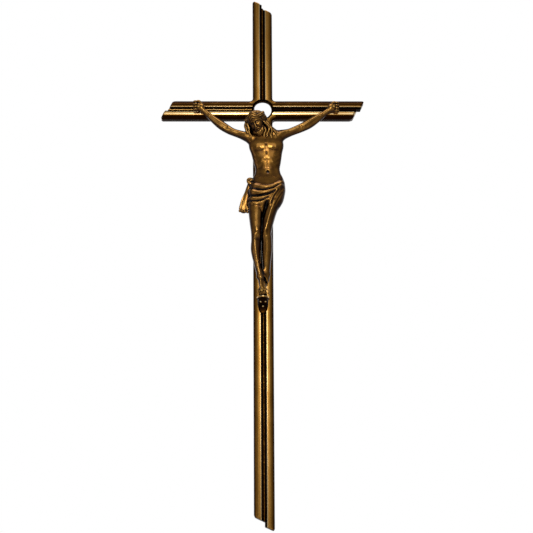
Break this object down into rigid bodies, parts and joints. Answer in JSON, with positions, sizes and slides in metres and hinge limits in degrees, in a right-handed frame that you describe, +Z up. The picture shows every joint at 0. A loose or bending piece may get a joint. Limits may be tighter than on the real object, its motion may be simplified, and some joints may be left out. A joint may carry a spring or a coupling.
{
  "type": "wall crucifix",
  "caption": "Wall crucifix: hollow-backed cast cross with channelled bars and a round window at the crossing, a nailed cast corpus, a foot bracket and a rear hanging ring.",
  "frame": {"origin": "on the flat back plane, in the middle of the solid hub below the crossing's round window", "axes": "+Z up along the post, +X to the viewer's right along the crossbar, +Y back into the wall"},
  "size_m": [0.152, 0.0252, 0.401],
  "materials": {
    "antique_bronze": "antiqued, lands brushed bright",
    "figure_bronze": "antiqued and relieved",
    "nail_brass": "polished",
    "spring_steel": "plain",
    "ring_brass": "plain drawn wire"
  },
  "bodies": {
    "cross": {"cross_casting": "antique_bronze", "corpus": "figure_bronze", "footrest": "figure_bronze", "left_hand_nail": "nail_brass", "right_hand_nail": "nail_brass", "feet_nail": "nail_brass", "left_hand_nut": "spring_steel", "right_hand_nut": "spring_steel", "feet_nut": "spring_steel", "footrest_nut": "spring_steel"},
    "ring": {"hanging_ring": "ring_brass"}
  },
  "joints": [
    {"name": "ring_hinge", "type": "hinge", "parent": "cross", "child": "ring", "pos_m": [0, -0.00165, 0.0668], "axis": [1, 0, 0], "range_deg": [0, 176]}
  ]
}
